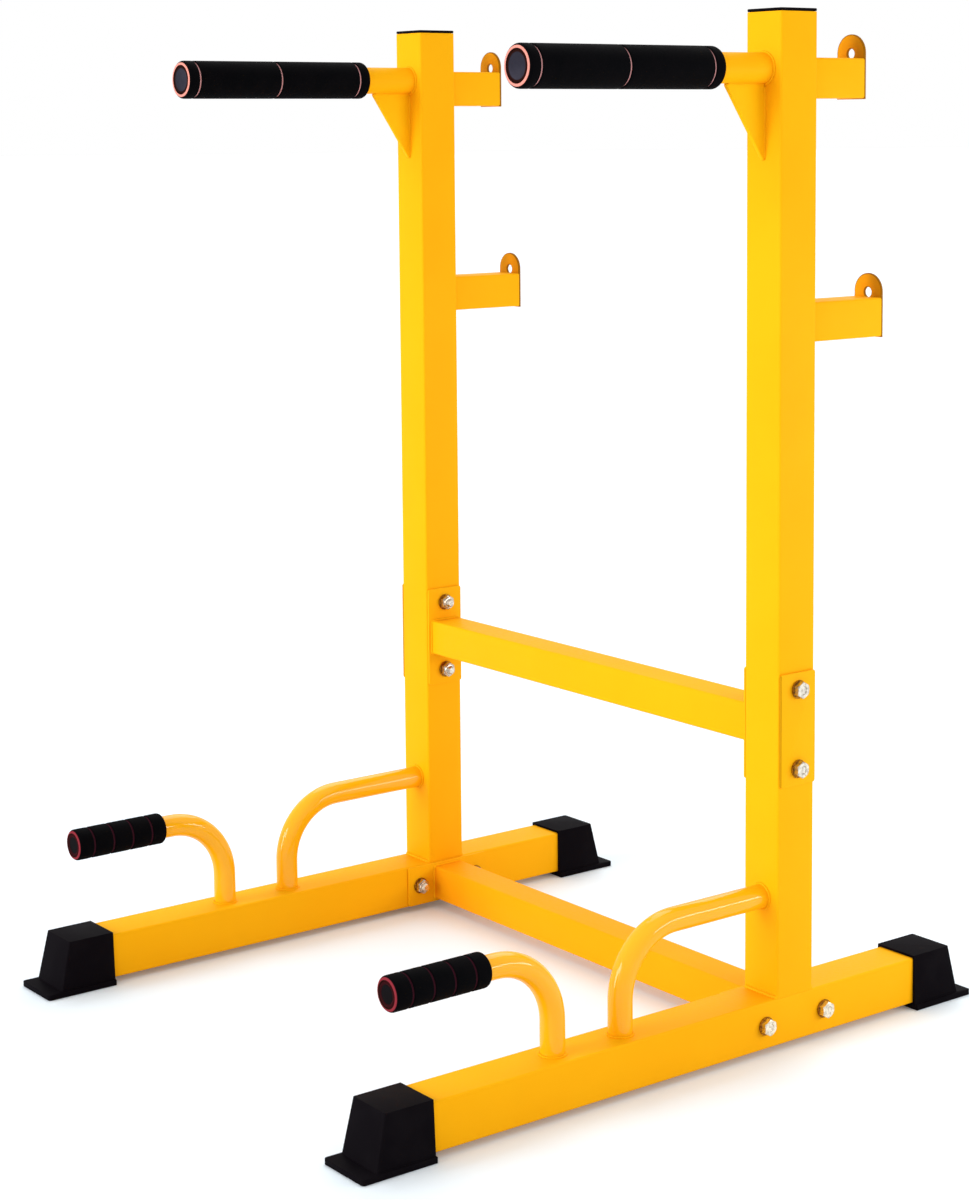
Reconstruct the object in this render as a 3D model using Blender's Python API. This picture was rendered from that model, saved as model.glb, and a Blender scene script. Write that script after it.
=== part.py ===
# Squat rack with dip bars and push-up handles: two welded side frames joined by two bolted crossbars.
# Metres, +Z up. The floor is z = 0, the dip bars and handles point to -Y and the barbell arms to +Y.
import math

import bmesh
import bpy

# Side frames and their square tube
frame_spacing = 0.634
post_size = 0.052
post_wall = 0.002
post_top = 1.102
post_offset = 0.149
base_size = 0.052
base_wall = 0.002
base_length = 0.758
tube_corner = 0.0025

# Crossbars and their bolted end plates
rail_size = 0.042
rail_wall = 0.002
upper_rail_height = 0.349
plate_length = 0.122
plate_width = 0.050
plate_thickness = 0.0025
plate_corner = 0.003
bolt_edge = 0.018

# Barbell arms with the ear plates that stop the bar
arm_size = 0.042
arm_wall = 0.002
upper_arm_drop = 0.068
lower_arm_drop = 0.3225
upper_arm_reach = 0.0775
lower_arm_reach = 0.106
ear_width = 0.040
ear_thickness = 0.003
ear_crown_rise = 0.0055
ear_hole = 0.0105
ear_hole_rise = 0.005
ear_foot_drop = 0.001

# Dip bars
dip_drop = 0.058
dip_reach = 0.323
dip_diameter = 0.032
dip_wall = 0.002
dip_grip_diameter = 0.044
dip_grip_length = 0.253
dip_grip_end = 0.015
dip_groove_count = 3
gusset_length = 0.053
gusset_height = 0.078
gusset_thickness = 0.005
gusset_nose = 0.002

# Push-up handles and braces, bent from the same round tube
handle_diameter = 0.026
handle_wall = 0.0015
handle_height = 0.165
bend_radius = 0.072
handle_inset = 0.2155
handle_reach = 0.202
brace_leg = 0.2235
handle_grip_diameter = 0.036
handle_grip_length = 0.1155
handle_grip_end = 0.020
handle_groove_count = 4

# Foam grips
groove_width = 0.0028
groove_depth = 0.0020
grip_end_round = 0.0015
grip_overhang = 0.0005

# Plugs in the open tube ends
post_plug_head = 0.003
post_plug_depth = 0.015
spigot_round = 0.0015
round_plug_head = 0.002
round_plug_depth = 0.012
plug_chamfer = 0.0006

# Feet
foot_lift = 0.0065
foot_seat = 0.048
foot_cover = 0.003
foot_top_side = 0.0016
foot_top_length = 0.0565
foot_body_side = 0.0046
foot_body_length = 0.069
foot_flange_side = 0.0075
foot_flange_length = 0.087
foot_flange_height = 0.006
foot_corner = 0.003
foot_edge = 0.002

# Bolts and nuts
bolt_diameter = 0.010
bolt_hole = 0.011
head_flats = 0.016
head_height = 0.0064
washer_diameter = 0.020
washer_height = 0.0018
nut_height = 0.0080
nut_collar = 0.0020
bolt_tail = 0.004
fastener_chamfer = 0.0008

# Clearances and mesh fineness
seam = 0.0003
sleeve_gap = 0.0003
corner_steps = 3
arc_steps = 10
bend_steps = 8
tube_sides = 16
fastener_sides = 12

# Places that follow from the sizes above
base_centre = foot_lift + base_size / 2
base_top = foot_lift + base_size
post_face = post_size / 2
base_face = base_size / 2
bolt_offset = plate_length / 2 - bolt_edge
upper_arm_height = post_top - upper_arm_drop
lower_arm_height = post_top - lower_arm_drop
dip_height = post_top - dip_drop
handle_leg = post_offset + base_length / 2 - handle_inset
toward_front = (math.pi / 2, 0, 0)
toward_right = (math.pi / 2, 0, math.pi / 2)
toward_left = (math.pi / 2, 0, -math.pi / 2)
upright_turn = (0, 0, 0)
half_turn = (0, 0, math.pi)


def clear_scene():
    for old in list(bpy.data.objects):
        bpy.data.objects.remove(old, do_unlink=True)


def linear(value):
    value = value / 255
    if value <= 0.04045:
        return value / 12.92
    return ((value + 0.055) / 1.055) ** 2.4


def make_material(name, colour, roughness, metallic):
    material = bpy.data.materials.new(name)
    material.use_nodes = True
    shader = material.node_tree.nodes["Principled BSDF"]
    shader.inputs["Base Color"].default_value = (*[linear(part) for part in colour], 1)
    shader.inputs["Roughness"].default_value = roughness
    shader.inputs["Metallic"].default_value = metallic
    material.diffuse_color = shader.inputs["Base Color"].default_value
    return material


def make_empty(name, location):
    empty = bpy.data.objects.new(name, None)
    empty.location = location
    bpy.context.scene.collection.objects.link(empty)
    return empty


# Adds the finished mesh as an object of its own, in its parent's space.
def make_object(name, bm, material, location, turn, parent, sharp_angle=30):
    bmesh.ops.recalc_face_normals(bm, faces=bm.faces)
    mesh = bpy.data.meshes.new(name)
    bm.to_mesh(mesh)
    bm.free()
    mesh.shade_smooth()
    mesh.set_sharp_from_angle(angle=math.radians(sharp_angle))
    mesh.materials.append(material)
    piece = bpy.data.objects.new(name, mesh)
    piece.location = location
    piece.rotation_euler = turn
    piece.parent = parent
    bpy.context.scene.collection.objects.link(piece)
    return piece


# Raises a face through a list of outlines, all of one length, from its bottom cap to its top cap.
def raised(levels):
    bm = bmesh.new()
    bottom = [bm.verts.new(point) for point in levels[0]]
    face = bm.faces.new(bottom)
    for level in levels[1:]:
        face = bmesh.ops.extrude_discrete_faces(bm, faces=[face])["faces"][0]
        for vert, point in zip(face.verts, level):
            vert.co = point
    bm.faces.new(bottom[::-1])
    return bm


def arc(centre_x, centre_y, radius, start, end, steps):
    points = []
    for i in range(steps + 1):
        angle = math.radians(start + (end - start) * i / steps)
        points.append((centre_x + radius * math.cos(angle), centre_y + radius * math.sin(angle)))
    return points


def rounded_rectangle(width, height, radius):
    x = width / 2 - radius
    y = height / 2 - radius
    points = arc(x, y, radius, 0, 90, corner_steps)
    points += arc(-x, y, radius, 90, 180, corner_steps)
    points += arc(-x, -y, radius, 180, 270, corner_steps)
    points += arc(x, -y, radius, 270, 360, corner_steps)
    return points


def circle(radius, sides):
    return arc(0, 0, radius, 0, 360, sides)[:-1]


def hexagon(flats, sides):
    points = []
    for i in range(sides):
        angle = 2 * math.pi * i / sides
        from_flat = (angle % (math.pi / 3)) - math.pi / 6
        reach = flats / 2 / math.cos(from_flat)
        points.append((reach * math.cos(angle), reach * math.sin(angle)))
    return points


def at_height(outline, z):
    return [(x, y, z) for x, y in outline]


# A hollow square tube along local Z, centred on its middle.
def square_tube(size, wall, length):
    bm = bmesh.new()
    outline = rounded_rectangle(size, size, tube_corner)
    core = bm.faces.new([bm.verts.new(point) for point in at_height(outline, -length / 2)])
    core.normal_update()
    bmesh.ops.inset_region(bm, faces=[core], thickness=wall, use_boundary=True, use_even_offset=True)
    bmesh.ops.delete(bm, geom=[core], context="FACES_ONLY")
    raised_ring = bmesh.ops.extrude_face_region(bm, geom=bm.faces[:])["geom"]
    top = [item for item in raised_ring if isinstance(item, bmesh.types.BMVert)]
    bmesh.ops.translate(bm, verts=top, vec=(0, 0, length))
    return bm


# A flat plate: its outline in local XY, its thickness along local Z about the middle.
def flat_plate(outline, thickness):
    return raised([at_height(outline, -thickness / 2), at_height(outline, thickness / 2)])


# A sleeve turned about local Z: each point of its section is a radius and a height.
def turned(section):
    bm = bmesh.new()
    verts = [bm.verts.new((radius, 0, z)) for radius, z in section]
    edges = [bm.edges.new(pair) for pair in zip(verts, verts[1:] + verts[:1])]
    bmesh.ops.spin(bm, geom=verts + edges, cent=(0, 0, 0), axis=(0, 0, 1),
                   angle=2 * math.pi, steps=tube_sides, use_merge=True)
    return bm


def cut(piece, cutter):
    hole = piece.modifiers.new("Cut", "BOOLEAN")
    hole.operation = "DIFFERENCE"
    hole.object = cutter
    cutter.hide_render = True
    cutter.display_type = "WIRE"
    bpy.context.view_layer.update()
    shaped = piece.evaluated_get(bpy.context.evaluated_depsgraph_get())
    old_mesh = piece.data
    piece.data = bpy.data.meshes.new_from_object(shaped)
    piece.modifiers.clear()
    piece.data.name = piece.name
    bpy.data.meshes.remove(old_mesh)
    bpy.data.objects.remove(cutter, do_unlink=True)


# Drills a round hole through a piece, in the space of the piece's parent.
def drill(piece, location, turn, diameter, depth):
    bm = flat_plate(circle(diameter / 2, tube_sides), depth)
    cut(piece, make_object("cutter", bm, piece.data.materials[0], location, turn, piece.parent))


# Up from the base, round one bend and level to its end: points in the frame's YZ plane.
def bent_path(leg_y, foot_z, level_z, end_y):
    forward = 1 if end_y > leg_y else -1
    points = [(leg_y, foot_z)]
    for y, z in arc(0, 0, bend_radius, 180, 90, bend_steps):
        points.append((leg_y + forward * (bend_radius + y), level_z - bend_radius + z))
    points.append((end_y, level_z))
    return points


# Round tube bent along a path: a bevelled curve, open at both ends, with its wall turned inwards.
def make_bent_tube(name, path, frame):
    curve = bpy.data.curves.new(name, "CURVE")
    curve.dimensions = "3D"
    curve.bevel_depth = handle_diameter / 2
    curve.bevel_resolution = tube_sides // 2 - 2
    curve.resolution_u = 1
    curve.use_fill_caps = False
    spline = curve.splines.new("POLY")
    spline.points.add(len(path) - 1)
    for point, (y, z) in zip(spline.points, path):
        point.co = (0, y, z, 1)
    curve.materials.append(paint)
    tube = bpy.data.objects.new(name, curve)
    tube.parent = frame
    bpy.context.scene.collection.objects.link(tube)
    wall = tube.modifiers.new("Wall", "SOLIDIFY")
    wall.thickness = handle_wall
    wall.offset = -1
    wall.use_even_offset = True


# A foam sleeve along local Z from 0, with ring grooves spaced evenly between its two end bands.
def foam_sleeve(diameter, tube_diameter, length, end_band, groove_count):
    radius = diameter / 2
    bore = tube_diameter / 2 + sleeve_gap
    pitch = (length - 2 * end_band) / (groove_count - 1)
    section = [(bore, 0), (radius - grip_end_round, 0), (radius, grip_end_round)]
    for i in range(groove_count):
        middle = end_band + i * pitch
        section.append((radius, middle - groove_width / 2))
        section.append((radius - groove_depth, middle))
        section.append((radius, middle + groove_width / 2))
    section += [(radius, length - grip_end_round), (radius - grip_end_round, length), (bore, length)]
    return turned(section)


# A plug for a round tube's end: the spigot below local zero, the head above it.
def round_plug(tube_diameter, tube_wall):
    spigot = tube_diameter / 2 - tube_wall - sleeve_gap
    head = tube_diameter / 2
    levels = (
        (spigot - plug_chamfer, -round_plug_depth),
        (spigot, plug_chamfer - round_plug_depth),
        (spigot, 0),
        (head, 0),
        (head, round_plug_head - plug_chamfer),
        (head - plug_chamfer, round_plug_head),
    )
    return raised([at_height(circle(radius, tube_sides), z) for radius, z in levels])


# The plug in an upright's top: the spigot below local zero, the flat head above it.
def square_plug():
    spigot = post_size - 2 * post_wall - 2 * sleeve_gap
    levels = (
        (spigot - 2 * plug_chamfer, spigot_round - plug_chamfer, -post_plug_depth),
        (spigot, spigot_round, plug_chamfer - post_plug_depth),
        (spigot, spigot_round, 0),
        (post_size, tube_corner, 0),
        (post_size, tube_corner, post_plug_head - plug_chamfer),
        (post_size - 2 * plug_chamfer, tube_corner - plug_chamfer, post_plug_head),
    )
    return raised([at_height(rounded_rectangle(size, size, corner), z) for size, corner, z in levels])


# One level of a foot: its rim is straight at y = 0, its outer corners are round.
def foot_outline(side, length):
    half = base_size / 2 + side
    points = [(half, 0)]
    points += arc(half - foot_corner, length - foot_corner, foot_corner, 0, 90, corner_steps)
    points += arc(foot_corner - half, length - foot_corner, foot_corner, 90, 180, corner_steps)
    points.append((-half, 0))
    return points


def make_foot(name, y, turn, parent):
    top = base_top + foot_cover
    levels = (
        (foot_flange_side - foot_edge / 2, foot_flange_length - foot_edge / 2, 0),
        (foot_flange_side, foot_flange_length, foot_edge / 2),
        (foot_flange_side, foot_flange_length, foot_flange_height - foot_edge / 2),
        (foot_flange_side - foot_edge / 2, foot_flange_length - foot_edge / 2, foot_flange_height),
        (foot_body_side, foot_body_length, foot_flange_height + foot_edge / 2),
        (foot_top_side, foot_top_length, top - foot_edge),
        (foot_top_side - foot_edge / 2, foot_top_length - foot_edge, top),
    )
    bm = raised([at_height(foot_outline(side, length), z) for side, length, z in levels])
    foot = make_object(name, bm, plastic, (0, y, 0), turn, parent)
    socket = base_size + 2 * sleeve_gap
    outline = rounded_rectangle(socket, socket, tube_corner + sleeve_gap)
    depth = 2 * (foot_seat + sleeve_gap)
    bm = flat_plate(outline, depth)
    cut(foot, make_object("cutter", bm, plastic, (0, y, base_centre), toward_front, parent))


def bolt_length(stack):
    return stack + 2 * seam + nut_height + nut_collar + bolt_tail


# A bolt with its washer: the head above local zero, the shank down to the tail.
def make_bolt(name, stack, location, turn, parent):
    radius = bolt_diameter / 2
    washer = washer_diameter / 2
    tail = -bolt_length(stack)
    head_top = washer_height + head_height
    sides = fastener_sides
    levels = [
        at_height(circle(radius - fastener_chamfer, sides), tail),
        at_height(circle(radius, sides), tail + fastener_chamfer),
        at_height(circle(radius, sides), 0),
        at_height(circle(washer, sides), 0),
        at_height(circle(washer, sides), washer_height),
        at_height(hexagon(head_flats, sides), washer_height),
        at_height(hexagon(head_flats, sides), head_top - fastener_chamfer),
        at_height(circle(head_flats / 2 - fastener_chamfer, sides), head_top),
    ]
    make_object(name, raised(levels), zinc, location, turn, parent)


# A lock nut with its washer: its seat at local zero, its collar pointing along local -Z.
def make_nut(name, location, turn, parent):
    washer = washer_diameter / 2
    collar = head_flats / 2 - fastener_chamfer
    sides = fastener_sides
    end = -nut_height - nut_collar
    levels = [
        at_height(circle(washer, sides), 0),
        at_height(circle(washer, sides), -washer_height),
        at_height(hexagon(head_flats, sides), -washer_height),
        at_height(hexagon(head_flats, sides), -nut_height),
        at_height(circle(collar, sides), -nut_height),
        at_height(circle(collar, sides), end + fastener_chamfer),
        at_height(circle(collar - fastener_chamfer, sides), end),
    ]
    nut = make_object(name, raised(levels), zinc, location, turn, parent)
    bore = bolt_diameter + 2 * sleeve_gap
    drill(nut, location, turn, bore, 4 * (nut_height + nut_collar))


# The bolts of one joint through a tube whose faces lie half_width from the frame's plane. side is 1 on
# the right frame and -1 on the left, and the heads face outwards.
def fasten(names, places, half_width, outer_plate, side, frame):
    turn = toward_right if side > 0 else toward_left
    outer_face = half_width
    if outer_plate:
        outer_face += seam + plate_thickness
    inner_face = -half_width - seam - plate_thickness
    stack = outer_face - inner_face
    for name, (y, z) in zip(names, places):
        make_bolt(f"{name}_bolt", stack, (side * (outer_face + seam), y, z), turn, frame)
        make_nut(f"{name}_nut", (side * (inner_face - seam), y, z), turn, frame)


def drill_for_bolts(piece, places, depth, x=0):
    for y, z in places:
        drill(piece, (x, y, z), toward_right, bolt_hole, depth)


def upper_bolt_places():
    return [(0, upper_rail_height + bolt_offset), (0, upper_rail_height - bolt_offset)]


def lower_bolt_places():
    return [(-bolt_offset, base_centre), (bolt_offset, base_centre)]


def make_arm(name, height, reach, frame):
    length = reach - ear_thickness - 2 * seam
    middle = post_face + seam + length / 2
    bm = square_tube(arm_size, arm_wall, length)
    make_object(f"{name}_arm", bm, paint, (0, middle, height), toward_front, frame)
    half = ear_width / 2
    foot_z = -arm_size / 2 - ear_foot_drop
    crown_z = arm_size / 2 + ear_crown_rise
    hole_z = arm_size / 2 + ear_hole_rise
    outline = [(-half, foot_z), (half, foot_z)] + arc(0, crown_z, half, 0, 180, arc_steps)
    ear_y = post_face + reach - ear_thickness / 2
    ear = make_object(f"{name}_ear", flat_plate(outline, ear_thickness), paint,
                      (0, ear_y, height), toward_front, frame)
    drill(ear, (0, ear_y, height + hole_z), toward_front, ear_hole, 2 * ear_thickness)


def make_dip_bar(prefix, frame):
    plug_face = dip_reach - grip_overhang
    length = plug_face - round_plug_head - 2 * seam
    start = post_face + seam
    radius = dip_diameter / 2
    section = [(radius - dip_wall, 0), (radius, 0), (radius, length), (radius - dip_wall, length)]
    make_object(f"{prefix}_dip_bar", turned(section), paint,
                (0, -start, dip_height), toward_front, frame)
    plug_y = -start - length - seam
    make_object(f"{prefix}_dip_plug", round_plug(dip_diameter, dip_wall), plastic,
                (0, plug_y, dip_height), toward_front, frame)
    bm = foam_sleeve(dip_grip_diameter, dip_diameter, dip_grip_length, dip_grip_end, dip_groove_count)
    grip_y = dip_grip_length - dip_reach - post_face
    make_object(f"{prefix}_dip_grip", bm, foam, (0, grip_y, dip_height), toward_front, frame)
    outline = [
        (0, 0),
        (-gusset_length, 0),
        (-gusset_length, -gusset_nose),
        (-gusset_nose, -gusset_height),
        (0, -gusset_height),
    ]
    corner = (0, -start, dip_height - radius - seam)
    make_object(f"{prefix}_gusset", flat_plate(outline, gusset_thickness), paint,
                corner, toward_right, frame)


def make_pushup_handle(prefix, frame):
    front = -handle_leg - handle_reach
    tube_end = front + grip_overhang + round_plug_head + seam
    path = bent_path(-handle_leg, base_top + seam, handle_height, tube_end)
    make_bent_tube(f"{prefix}_pushup_tube", path, frame)
    make_object(f"{prefix}_pushup_plug", round_plug(handle_diameter, handle_wall), plastic,
                (0, tube_end - seam, handle_height), toward_front, frame)
    bm = foam_sleeve(handle_grip_diameter, handle_diameter, handle_grip_length,
                     handle_grip_end, handle_groove_count)
    make_object(f"{prefix}_pushup_grip", bm, foam,
                (0, front + handle_grip_length, handle_height), toward_front, frame)


def make_brace(prefix, frame):
    path = bent_path(-brace_leg, base_top + seam, handle_height, -post_face - seam)
    make_bent_tube(f"{prefix}_brace_tube", path, frame)


# One welded side frame with its fittings. Its empty stands on the floor under the upright's centre.
def make_side_frame(prefix, side):
    frame = make_empty(f"{prefix}_frame", (side * frame_spacing / 2, post_offset, 0))
    post_length = post_top - base_top - seam
    post = make_object(f"{prefix}_upright", square_tube(post_size, post_wall, post_length), paint,
                       (0, 0, post_top - post_length / 2), upright_turn, frame)
    drill_for_bolts(post, upper_bolt_places(), 2 * post_size)
    make_object(f"{prefix}_top_plug", square_plug(), plastic, (0, 0, post_top + seam), upright_turn, frame)

    base = make_object(f"{prefix}_base_tube", square_tube(base_size, base_wall, base_length), paint,
                       (0, -post_offset, base_centre), toward_front, frame)
    drill_for_bolts(base, lower_bolt_places(), 2 * base_size)
    rim = base_length / 2 - foot_seat
    make_foot(f"{prefix}_front_foot", -post_offset - rim, half_turn, frame)
    make_foot(f"{prefix}_rear_foot", -post_offset + rim, upright_turn, frame)

    outline = rounded_rectangle(plate_width, plate_length, plate_corner)
    plate_x = side * (post_face + seam + plate_thickness / 2)
    backing = make_object(f"{prefix}_backing_plate", flat_plate(outline, plate_thickness), paint,
                          (plate_x, 0, upper_rail_height), toward_right, frame)
    drill_for_bolts(backing, upper_bolt_places(), 4 * plate_thickness, plate_x)

    make_arm(f"{prefix}_upper", upper_arm_height, upper_arm_reach, frame)
    make_arm(f"{prefix}_lower", lower_arm_height, lower_arm_reach, frame)
    make_dip_bar(prefix, frame)
    make_pushup_handle(prefix, frame)
    make_brace(prefix, frame)

    upper_names = (f"{prefix}_upper_high", f"{prefix}_upper_low")
    fasten(upper_names, upper_bolt_places(), post_face, True, side, frame)
    lower_names = (f"{prefix}_lower_front", f"{prefix}_lower_rear")
    fasten(lower_names, lower_bolt_places(), base_face, False, side, frame)


# A crossbar with an end plate against each side frame, whose inner faces lie half_width from its plane.
# plate_size is the plate's Y and Z.
def make_crossbar(name, height, half_width, plate_size, bolt_places, frame):
    plate_x = frame_spacing / 2 - half_width - seam - plate_thickness / 2
    length = 2 * (plate_x - plate_thickness / 2 - seam)
    make_object(f"{name}_crossbar", square_tube(rail_size, rail_wall, length), paint,
                (0, 0, height), toward_right, frame)
    for prefix, x in (("left", -plate_x), ("right", plate_x)):
        outline = rounded_rectangle(*plate_size, plate_corner)
        plate = make_object(f"{name}_crossbar_{prefix}_plate", flat_plate(outline, plate_thickness), paint,
                            (x, 0, height), toward_right, frame)
        drill_for_bolts(plate, bolt_places, 4 * plate_thickness, x)


clear_scene()
paint = make_material("yellow_paint", (253, 190, 28), 0.35, 0)
foam = make_material("black_foam", (18, 17, 18), 0.85, 0)
plastic = make_material("black_plastic", (30, 28, 30), 0.45, 0)
zinc = make_material("zinc_steel", (200, 198, 192), 0.3, 1)

make_side_frame("left", -1)
make_side_frame("right", 1)
middle = make_empty("crossbar_frame", (0, post_offset, 0))
make_crossbar("upper", upper_rail_height, post_face, (plate_width, plate_length), upper_bolt_places(), middle)
make_crossbar("lower", base_centre, base_face, (plate_length, plate_width), lower_bolt_places(), middle)
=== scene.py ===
import math

import bmesh
import bpy
from mathutils import Matrix, Vector


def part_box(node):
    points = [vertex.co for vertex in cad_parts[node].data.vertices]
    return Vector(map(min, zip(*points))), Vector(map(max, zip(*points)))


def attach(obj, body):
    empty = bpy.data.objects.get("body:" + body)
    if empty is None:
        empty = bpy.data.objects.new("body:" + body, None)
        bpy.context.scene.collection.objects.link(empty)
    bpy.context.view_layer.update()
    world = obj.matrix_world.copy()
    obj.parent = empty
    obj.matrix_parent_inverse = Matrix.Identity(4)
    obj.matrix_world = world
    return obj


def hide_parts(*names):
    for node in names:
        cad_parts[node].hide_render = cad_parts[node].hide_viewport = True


# Yellow squat rack with dip bars and push-up handles. Metres, floor at z = 0, front towards -Y.
# Each piece of a side frame is modelled for the right frame (+X) and mirrored to the left one.
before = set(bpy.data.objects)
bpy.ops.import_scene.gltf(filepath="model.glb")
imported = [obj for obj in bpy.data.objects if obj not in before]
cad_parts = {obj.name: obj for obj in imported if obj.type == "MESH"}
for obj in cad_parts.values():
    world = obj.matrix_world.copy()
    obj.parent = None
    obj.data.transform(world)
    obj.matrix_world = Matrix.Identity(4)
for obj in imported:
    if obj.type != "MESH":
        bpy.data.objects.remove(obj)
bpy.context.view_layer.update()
print("frame loaded:", len(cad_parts), "nodes")

postLow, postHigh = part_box("right_upright")
baseLow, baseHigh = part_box("right_base_tube")
sideX = (postLow.x + postHigh.x) / 2
postY = (postLow.y + postHigh.y) / 2
right = Vector((1, 0, 0))
front = Vector((0, -1, 0))
up = Vector((0, 0, 1))


# Small tools for modelling

same = {"direction": 0.999, "place": 0.000002, "growth": 0.0001}  # what counts as equal


def takeUp(piece):
    bpy.ops.object.select_all(action="DESELECT")
    piece.select_set(True)
    bpy.context.view_layer.objects.active = piece


def settle(name):
    piece = bpy.context.object
    piece.name = name
    piece.data.name = name
    bpy.ops.object.transform_apply(location=True, rotation=True, scale=True)
    return piece


def addBlock(name, low, high):
    bpy.ops.object.select_all(action="DESELECT")
    bpy.ops.mesh.primitive_cube_add(size=1, location=(low + high) / 2, scale=high - low)
    return settle(name)


def startEdit(piece):
    takeUp(piece)
    bpy.ops.object.mode_set(mode="EDIT")


def stopEdit():
    bpy.ops.object.mode_set(mode="OBJECT")


# Selects the edges or faces that pass the test, by their place or direction
def pick(piece, kind, test):
    bpy.ops.mesh.select_mode(type=kind)
    bpy.ops.mesh.select_all(action="DESELECT")
    mesh = bmesh.from_edit_mesh(piece.data)
    mesh.normal_update()
    for item in (mesh.edges if kind == "EDGE" else mesh.faces):
        item.select_set(test(item))
    mesh.select_flush_mode()
    bmesh.update_edit_mesh(piece.data)


def runsAlong(axis):
    return lambda edge: abs((edge.verts[1].co - edge.verts[0].co).normalized().dot(axis)) > same["direction"]


def facesTo(direction):
    return lambda face: face.normal.dot(direction) > same["direction"]


# Rounds the edges that run along an axis, all of them or those where the test holds
def roundAlong(piece, axis, radius, steps, where=lambda edge: True):
    startEdit(piece)
    pick(piece, "EDGE", lambda edge: runsAlong(axis)(edge) and where(edge))
    bpy.ops.mesh.bevel(offset=radius, segments=steps, affect="EDGES")
    stopEdit()


def useModifier(piece, kind, **settings):
    takeUp(piece)
    step = piece.modifiers.new(kind.title(), kind)
    for key, value in settings.items():
        setattr(step, key, value)
    bpy.ops.object.modifier_apply(modifier=step.name)


def softenEdges(piece, width, segments=3, angle=35):
    useModifier(piece, "BEVEL", width=width, segments=segments, limit_method="ANGLE",
                angle_limit=math.radians(angle))


def combine(piece, tool, operation):
    useModifier(piece, "BOOLEAN", object=tool, operation=operation, solver="EXACT")
    bpy.data.objects.remove(tool, do_unlink=True)


def turnFacesOut(piece):
    startEdit(piece)
    bpy.ops.mesh.select_all(action="SELECT")
    bpy.ops.mesh.remove_doubles(threshold=same["place"])
    bpy.ops.mesh.normals_make_consistent(inside=False)
    stopEdit()


def joinPieces(piece, other):
    takeUp(piece)
    other.select_set(True)
    bpy.ops.object.join()
    return piece


# A circle is drawn out along an axis, ring by ring: each step is a radius and a distance along it.
# A sleeve's last ring lies on its first; any other piece is closed with a flat cap at both ends.
def turnPiece(name, start, direction, steps, sides, sleeve=False):
    bpy.ops.object.select_all(action="DESELECT")
    radius, along = steps[0]
    bpy.ops.mesh.primitive_circle_add(
        vertices=sides, radius=radius, location=start + direction * along,
        rotation=direction.to_track_quat("Z", "Y").to_euler(), fill_type="NOTHING" if sleeve else "NGON")
    piece = settle(name)
    startEdit(piece)
    bpy.ops.mesh.select_all(action="SELECT")
    for nextRadius, nextAlong in steps[1:]:
        bpy.ops.mesh.extrude_region_move(
            TRANSFORM_OT_translate={"value": direction * (nextAlong - along)})
        grow = nextRadius / radius
        if abs(grow - 1) > same["growth"]:
            bpy.ops.transform.resize(value=(grow, grow, grow), center_override=start + direction * nextAlong)
        radius, along = nextRadius, nextAlong
    stopEdit()
    turnFacesOut(piece)
    return piece


# Shader maths: a wrapped socket adds its own Math nodes

class Signal:
    def __init__(self, recipe, socket):
        self.recipe = recipe
        self.socket = socket

    def maths(self, operation, first, second=0.0):
        return self.recipe.add("ShaderNodeMath", {"operation": operation}, {0: first, 1: second})

    def __add__(self, other):
        return self.maths("ADD", self, other)

    def __radd__(self, other):
        return self.maths("ADD", other, self)

    def __sub__(self, other):
        return self.maths("SUBTRACT", self, other)

    def __rsub__(self, other):
        return self.maths("SUBTRACT", other, self)

    def __mul__(self, other):
        return self.maths("MULTIPLY", self, other)

    def __rmul__(self, other):
        return self.maths("MULTIPLY", other, self)

    def __abs__(self):
        return self.maths("ABSOLUTE", self)

    def squareRoot(self):
        return self.maths("SQRT", self)

    def orMore(self, other):
        return self.maths("MAXIMUM", self, other)


# The nodes of a material or of the world
class Recipe:
    def __init__(self, owner):
        self.owner = owner
        owner.use_nodes = True
        self.nodes = owner.node_tree.nodes
        self.links = owner.node_tree.links

    def feed(self, socket, value):
        if isinstance(value, Signal):
            self.links.new(value.socket, socket)
        else:
            socket.default_value = value

    def add(self, kind, settings=None, inputs=None, output=0):
        node = self.nodes.new(kind)
        for key, value in (settings or {}).items():
            setattr(node, key, value)
        for key, value in (inputs or {}).items():
            self.feed(node.inputs[key], value)
        return Signal(self, node.outputs[output])

    def place(self):
        return self.add("ShaderNodeTexCoord", output="Object")

    def axis(self, letter):
        return self.add("ShaderNodeSeparateXYZ", inputs={0: self.place()}, output=letter)

    def noise(self, scale, detail, roughness=0.5):
        return self.add("ShaderNodeTexNoise", inputs={
            "Vector": self.place(), "Scale": scale, "Detail": detail, "Roughness": roughness})

    def spread(self, value, low, high, toLow=0.0, toHigh=1.0):
        return self.add("ShaderNodeMapRange", {"interpolation_type": "SMOOTHSTEP"}, {
            "Value": value, "From Min": low, "From Max": high, "To Min": toLow, "To Max": toHigh})

    # Soft patches, given by the noise's scale and detail and the levels where a patch begins and is full
    def patches(self, scale, detail, begins, full):
        return self.spread(self.noise(scale, detail), begins, full)

    def blendColours(self, mask, first, second):
        return self.add("ShaderNodeMix", {"data_type": "RGBA"}, {0: mask, 6: first, 7: second}, output=2)

    def bump(self, height, distance, strength=1.0):
        return self.add("ShaderNodeBump", inputs={
            "Height": height, "Distance": distance, "Strength": strength})

    def finish(self, **sockets):
        for name, value in sockets.items():
            self.feed(self.nodes["Principled BSDF"].inputs[name.replace("_", " ")], value)
        return self.owner


# A screen colour, each part from 0 to 255, as the linear values that a shader takes
def tint(red, green, blue):
    parts = []
    for part in (red / 255, green / 255, blue / 255):
        parts.append(part / 12.92 if part <= 0.04045 else ((part + 0.055) / 1.055) ** 2.4)
    return (*parts, 1)


# Powder coat, with a rim of another colour where a piece asks for one: this rim is painted shade

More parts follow.
